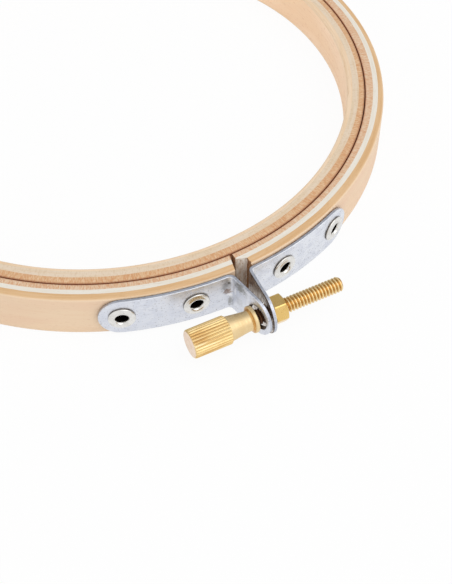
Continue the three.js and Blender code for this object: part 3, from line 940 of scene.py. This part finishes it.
def knurled(limit):
    """Radius of the head at an angle: sharp ridges, turned down to the limit at the chamfers."""
    def radius(angle):
        ridge = HEAD_RADIUS - KNURL_DEPTH * abs(math.sin(KNURL_RIDGES * angle / 2))
        return min(ridge, limit)
    return radius


def threaded(along):
    """Radius of the right-hand thread at an angle: flat-topped V ridges that die out at both ends."""
    start = min(max((along - THREAD_START) / THREAD_PITCH, 0), 1)
    tip = TIP_RADIUS + TIP_SLOPE * (SHANK_LENGTH - along)

    def radius(angle):
        phase = (along / THREAD_PITCH - angle / (2 * math.pi)) % 1
        valley = 1 - abs(2 * phase - 1)
        depth = min(max((valley - THREAD_CREST) / THREAD_FLANK, 0), 1)
        return min(THREAD_RADIUS - THREAD_DEPTH * depth * start, tip)
    return radius


# Distance and radius: on the head from its end, where the radius is the chamfers' limit, then on the neck
# and the collar from the bearing face
head_rows = [
    (0, 2.7), (0.02, 2.82), (0.08, 2.9), (0.16, 2.97), (0.26, 3.05), (0.6, 3.2), (4, 3.2), (7.9, 3.2),
    (8.2, 3.1), (8.3, 3), (8.38, 2.9), (HEAD_LENGTH, 2.82),
]
neck_rows = [
    (NECK_START, 2.7), (-6.06, 2.67), (-5.8, 2.65), (-5.0, 2.55), (-4.0, 2.42), (-3.0, 2.29), (-2.0, 2.18),
    (-1.65, 2.15), (-1.45, 2.17), (-1.27, 2.23), (-1.11, 2.32), (-0.99, 2.43), (-0.91, 2.57), (-0.87, 2.72),
    (-0.82, 2.84), (-0.72, 2.9), (-0.28, 2.9), (-0.14, 2.88), (-0.04, 2.81), (0, 2.7), (0, 1.75),
    (0.04, 1.67), (0.14, 1.65),
]
screw_loops = [circle(HEAD_START + along, knurled(limit), HEAD_SIDES) for along, limit in head_rows]
screw_loops += [circle(along, radius, SHANK_SIDES) for along, radius in neck_rows]
thread_rows = int((SHANK_LENGTH - THREAD_START) / THREAD_PITCH * THREAD_STEPS)
for row in range(thread_rows + 1):
    along = THREAD_START + (SHANK_LENGTH - THREAD_START) * row / thread_rows
    screw_loops.append(circle(along, threaded(along), SHANK_SIDES))


def turned_brass(name, ground, patterns, roughness, ring_size, marks=0.25, root_shade=None):
    """Bare turned brass: a pale gold metal with the fine rings that the tool left round its axis, which
    are under 0.05 mm apart and are drawn coarser so that they show. root_shade is the colour of painted
    shade laid along the bottom of a thread."""
    material, surface = new_material(name)
    place = own_millimetres(material)
    colour, _ = patterned(material, place, ground, patterns)
    # Painted shade: the bottom of the thread is tinted darker along its helix
    if root_shade:
        part = add_node(material, "SeparateXYZ", {0: place}).outputs
        turn = computed(material, "ARCTAN2", part["Z"], part["Y"])
        turns = computed(material, "MULTIPLY", turn, -0.5 / math.pi)
        advance = computed(material, "MULTIPLY_ADD", part["X"], 1 / THREAD_PITCH, turns)
        depth = computed(material, "PINGPONG", advance, 0.5)
        colour = tinted(material, colour, root_shade, ramp(material, depth, 0.12, 0.42, high=0.85))
    rings = noise_grain(material, place, ring_size, 2)
    uneven = ramp(material, rings, 0.3, 0.7, roughness - 0.06, roughness + 0.08)
    grooved = add_node(material, "Bump", {"Strength": marks, "Distance": 0.02 * MM, "Height": rings})
    set_inputs(material, surface, {
        "Base Color": colour, "Metallic": 1, "Roughness": uneven, "Normal": grooved.outputs[0],
    })
    return material


knurled_brass = turned_brass(
    "knurled brass", "EDD197",
    [("D2A564", (9, 0.8, 0.8), 2, 0.46, 0.62, 0.7), ("FAEBC2", (9, 0.6, 0.6), 1, 0.56, 0.66, 0.6)],
    roughness=0.48, ring_size=(0.4, 2, 2), marks=0.08,
)
# The parting tool leaves a duller, pinkish face
parted_end = turned_brass(
    "parted brass end", "F2DECB", [("E2C6AE", (1.2, 1.2, 1.2), 2, 0.42, 0.66, 0.7)],
    roughness=0.42, ring_size=(0.4, 0.25, 0.25),
)
turned_neck = turned_brass(
    "turned brass neck", "EAD2A4",
    [("E6C997", (0.35, 4, 4), 2, 0.42, 0.6, 0.6), ("B98A4A", (0.3, 0.3, 0.3), 1, 0.7, 0.78, 0.3)],
    roughness=0.48, ring_size=(0.3, 6, 6), marks=0.05,
)
# Painted shade and reflection: the concave fillet before the collar is tinted orange-brown
painted_fillet_shade_and_reflection = turned_brass(
    "brass fillet with painted shade and reflection", "D8A868", [("BC8848", (0.5, 0.5, 0.5), 2, 0.42, 0.66, 0.7)],
    roughness=0.3, ring_size=(0.2, 6, 6), marks=0.08,
)
# Painted shade: the thread between the ears, where their shadow falls, is painted dark brown
painted_shade_thread = turned_brass(
    "brass thread with painted shade", "6A4A36", [("3C281C", (0.5, 0.5, 0.5), 2, 0.42, 0.66, 0.8)],
    roughness=0.55, ring_size=(0.4, 1, 1),
)
bright_thread = turned_brass(
    "rolled brass thread", "F5DDA6", [("ECCB8C", (2.5, 1.2, 1.2), 2, 0.42, 0.66, 0.5)],
    roughness=0.33, ring_size=(0.6, 3, 3), marks=0.06, root_shade="BE8A44",
)


def screw_finish(along):
    """Number of the finish that the screw has at a distance from its bearing face."""
    if along <= HEAD_START:
        return 1
    if along < NECK_START:
        return 0
    if FILLET_START < along < FILLET_END:
        return 3
    if 0 < along < SHADED_LENGTH:
        return 4
    return 5 if along >= SHADED_LENGTH else 2


screw_finishes = [screw_finish(loop[0].x) for loop in screw_loops]
screw_placement = Matrix.Translation(
    Vector((0, -SCREW_RADIUS, SCREW_HEIGHT)) * MM + hoop_centre
) @ Matrix.Rotation(-math.radians(SCREW_SKEW), 4, "Z")
new_piece(
    "knurled_thumbscrew", turned_skin(screw_loops, screw_finishes),
    [knurled_brass, parted_end, turned_neck, painted_fillet_shade_and_reflection, painted_shade_thread, bright_thread],
    "thumbscrew", "thumbscrew",
    screw_placement @ Matrix.Translation(Vector((COLLAR_X, 0, 0)) * MM),
)

# Nut
# A hexagon nut milled from brass bar, chamfered on both faces and threaded to fit the screw. It bears on
# the right ear, turned so that one flat faces almost straight up.

NUT_APOTHEM = 2.75
NUT_THICKNESS = 2.9
NUT_X = 1.52
NUT_TURN = -2
NUT_SIDES = 96
NUT_BORE = 1.73
NUT_CHAMFER_RADIUS = 2.78
NUT_FACE_RADIUS = 2.6
COUNTERSINK_RADIUS = 2.05
COUNTERSINK_DEPTH = 0.35
CHAMFER_SLOPE = 1.73


def hexagon(from_face):
    """Radius of the nut at an angle: six flats whose corners the turned chamfer takes off."""
    limit = NUT_CHAMFER_RADIUS + CHAMFER_SLOPE * from_face

    def radius(angle):
        on_flat = (angle - math.radians(NUT_TURN)) % (math.pi / 3) - math.pi / 6
        return min(NUT_APOTHEM / math.cos(on_flat), limit)
    return radius


# Rows close together near both faces, where the chamfer curves across the flats
nut_rows = [0, 0.03, 0.06, 0.1, 0.14, 0.18, 0.22, 0.26]
nut_rows += [NUT_THICKNESS - row for row in reversed(nut_rows)]
nut_profile = [(0, COUNTERSINK_RADIUS), (0, NUT_FACE_RADIUS)]
nut_profile += [(row, hexagon(min(row, NUT_THICKNESS - row))) for row in nut_rows]
nut_profile += [(NUT_THICKNESS, NUT_FACE_RADIUS), (NUT_THICKNESS, COUNTERSINK_RADIUS)]
nut_profile += [(NUT_THICKNESS - COUNTERSINK_DEPTH, NUT_BORE), (COUNTERSINK_DEPTH, NUT_BORE)]
nut_loops = [circle(along, radius, NUT_SIDES) for along, radius in nut_profile]
nut_brass = turned_brass(
    "milled brass nut", "EBC880",
    [("E2BA6C", (1.5, 1.5, 1.5), 2, 0.42, 0.66, 0.6), ("A97C38", (0.3, 0.3, 0.3), 1, 0.68, 0.76, 0.4)],
    roughness=0.2, ring_size=(0.9, 0.25, 0.25), marks=0.12,
)
new_piece(
    "hexagon_nut", turned_skin(nut_loops, closed=True), [nut_brass], "nut", "nut",
    screw_placement @ Matrix.Translation(Vector((NUT_X, 0, 0)) * MM),
)

# Floor, light and camera
# The hoop lies on a white sweep in even daylight, with a large soft box above its front. The ceiling beyond
# the hoop is dimmer, so that polished faces that look up are greyer than those that see the floor.

# The sweep and the soft box are in metres and watts
FLOOR_SIZE = 4
FLOOR_DROP = 0.05 * MM
# How much of the sweep's white is its own glow where it is seen or mirrored
FLOOR_GLOW = 0.93
# Direction of the dim ceiling, how near to it the daylight starts to fade, and its strength before and after
DIM_CEILING = (0.25, 0.6, 0.76)
CEILING_EDGE = 0.45
WALL_LIGHT = 0.96
CEILING_LIGHT = 0.5
BOX_SIZE = 1.2
BOX_PLACE = Vector((0.35, -0.55, 0.95))
BOX_POWER = 3.8
# The camera's place from the middle of the hoop in millimetres, and its turns in degrees
VIEW_FROM = Vector((-82.28, -203.13, 195.34))
VIEW_AZIMUTH = 30.03
VIEW_DOWN = 50.44
VIEW_ROLL = 0.37
LENS = 95.575

floor_mesh = bpy.data.meshes.new("white_sweep")
half_floor = FLOOR_SIZE / 2
floor_mesh.from_pydata(
    [(half_floor * x, half_floor * y, -FLOOR_DROP) for x, y in ((-1, -1), (1, -1), (1, 1), (-1, 1))],
    [], [(0, 1, 2, 3)],
)
floor = bpy.data.objects.new("white_sweep", floor_mesh)
bpy.context.scene.collection.objects.link(floor)
floor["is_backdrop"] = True

paper, paper_surface = new_material("white paper sweep")
set_inputs(paper, paper_surface, {"Base Color": linear("F4F4F4"), "Roughness": 0.9})
glow = add_node(paper, "Emission", {"Color": (1, 1, 1, 1), "Strength": 1})
ray = add_node(paper, "LightPath").outputs
seen = computed(paper, "ADD", ray["Is Camera Ray"], ray["Is Glossy Ray"])
seen = computed(paper, "ADD", seen, ray["Is Transmission Ray"])
share = computed(paper, "MULTIPLY", seen, FLOOR_GLOW)
lit = add_node(paper, "MixShader", {0: share, 1: paper_surface.outputs[0], 2: glow.outputs[0]})
set_inputs(paper, paper.node_tree.nodes["Material Output"], {"Surface": lit.outputs[0]})
floor_mesh.materials.append(paper)

world = bpy.data.worlds.new("studio")
world.use_nodes = True
bpy.context.scene.world = world
sky = world.node_tree.nodes["Background"]
direction = add_node(world, "TexCoord").outputs["Generated"]
ceiling = computed_vector(world, "DOT_PRODUCT", direction, DIM_CEILING)
dimmed = ramp(world, ceiling, CEILING_EDGE, 1, WALL_LIGHT, CEILING_LIGHT)
# The camera itself sees plain white behind the sweep
ray = add_node(world, "LightPath").outputs
strength = ramp(world, ray["Is Camera Ray"], 0, 1, dimmed, 1)
set_inputs(world, sky, {"Color": (1, 1, 1, 1), "Strength": strength})

soft_box = bpy.data.lights.new("soft_box", "AREA")
soft_box.size = BOX_SIZE
soft_box.energy = BOX_POWER
lamp = bpy.data.objects.new("soft_box", soft_box)
lamp.location = BOX_PLACE
lamp.rotation_euler = (-BOX_PLACE).to_track_quat("-Z", "Y").to_euler()
bpy.context.scene.collection.objects.link(lamp)

azimuth, down, roll = (math.radians(angle) for angle in (VIEW_AZIMUTH, VIEW_DOWN, VIEW_ROLL))
ahead = Vector((math.sin(azimuth) * math.cos(down), math.cos(azimuth) * math.cos(down), -math.sin(down)))
right = Vector((math.cos(azimuth), -math.sin(azimuth), 0))
top = right.cross(ahead)
across = right * math.cos(roll) + top * math.sin(roll)
upright = across.cross(ahead)
camera = bpy.data.objects.new("camera", bpy.data.cameras.new("camera"))
camera.data.sensor_fit = "HORIZONTAL"
camera.data.sensor_width = 36
camera.data.lens = LENS
camera.data.clip_start = 0.01
camera.matrix_world = Matrix.Translation(VIEW_FROM * MM + hoop_centre) @ Matrix(
    (across, upright, -ahead)
).transposed().to_4x4()
bpy.context.scene.collection.objects.link(camera)
bpy.context.scene.camera = camera
bpy.context.scene.view_settings.view_transform = "Standard"

boxes = {"cad": cad_box, "visual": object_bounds()}
{name: [list(corner) for corner in box] for name, box in boxes.items()}
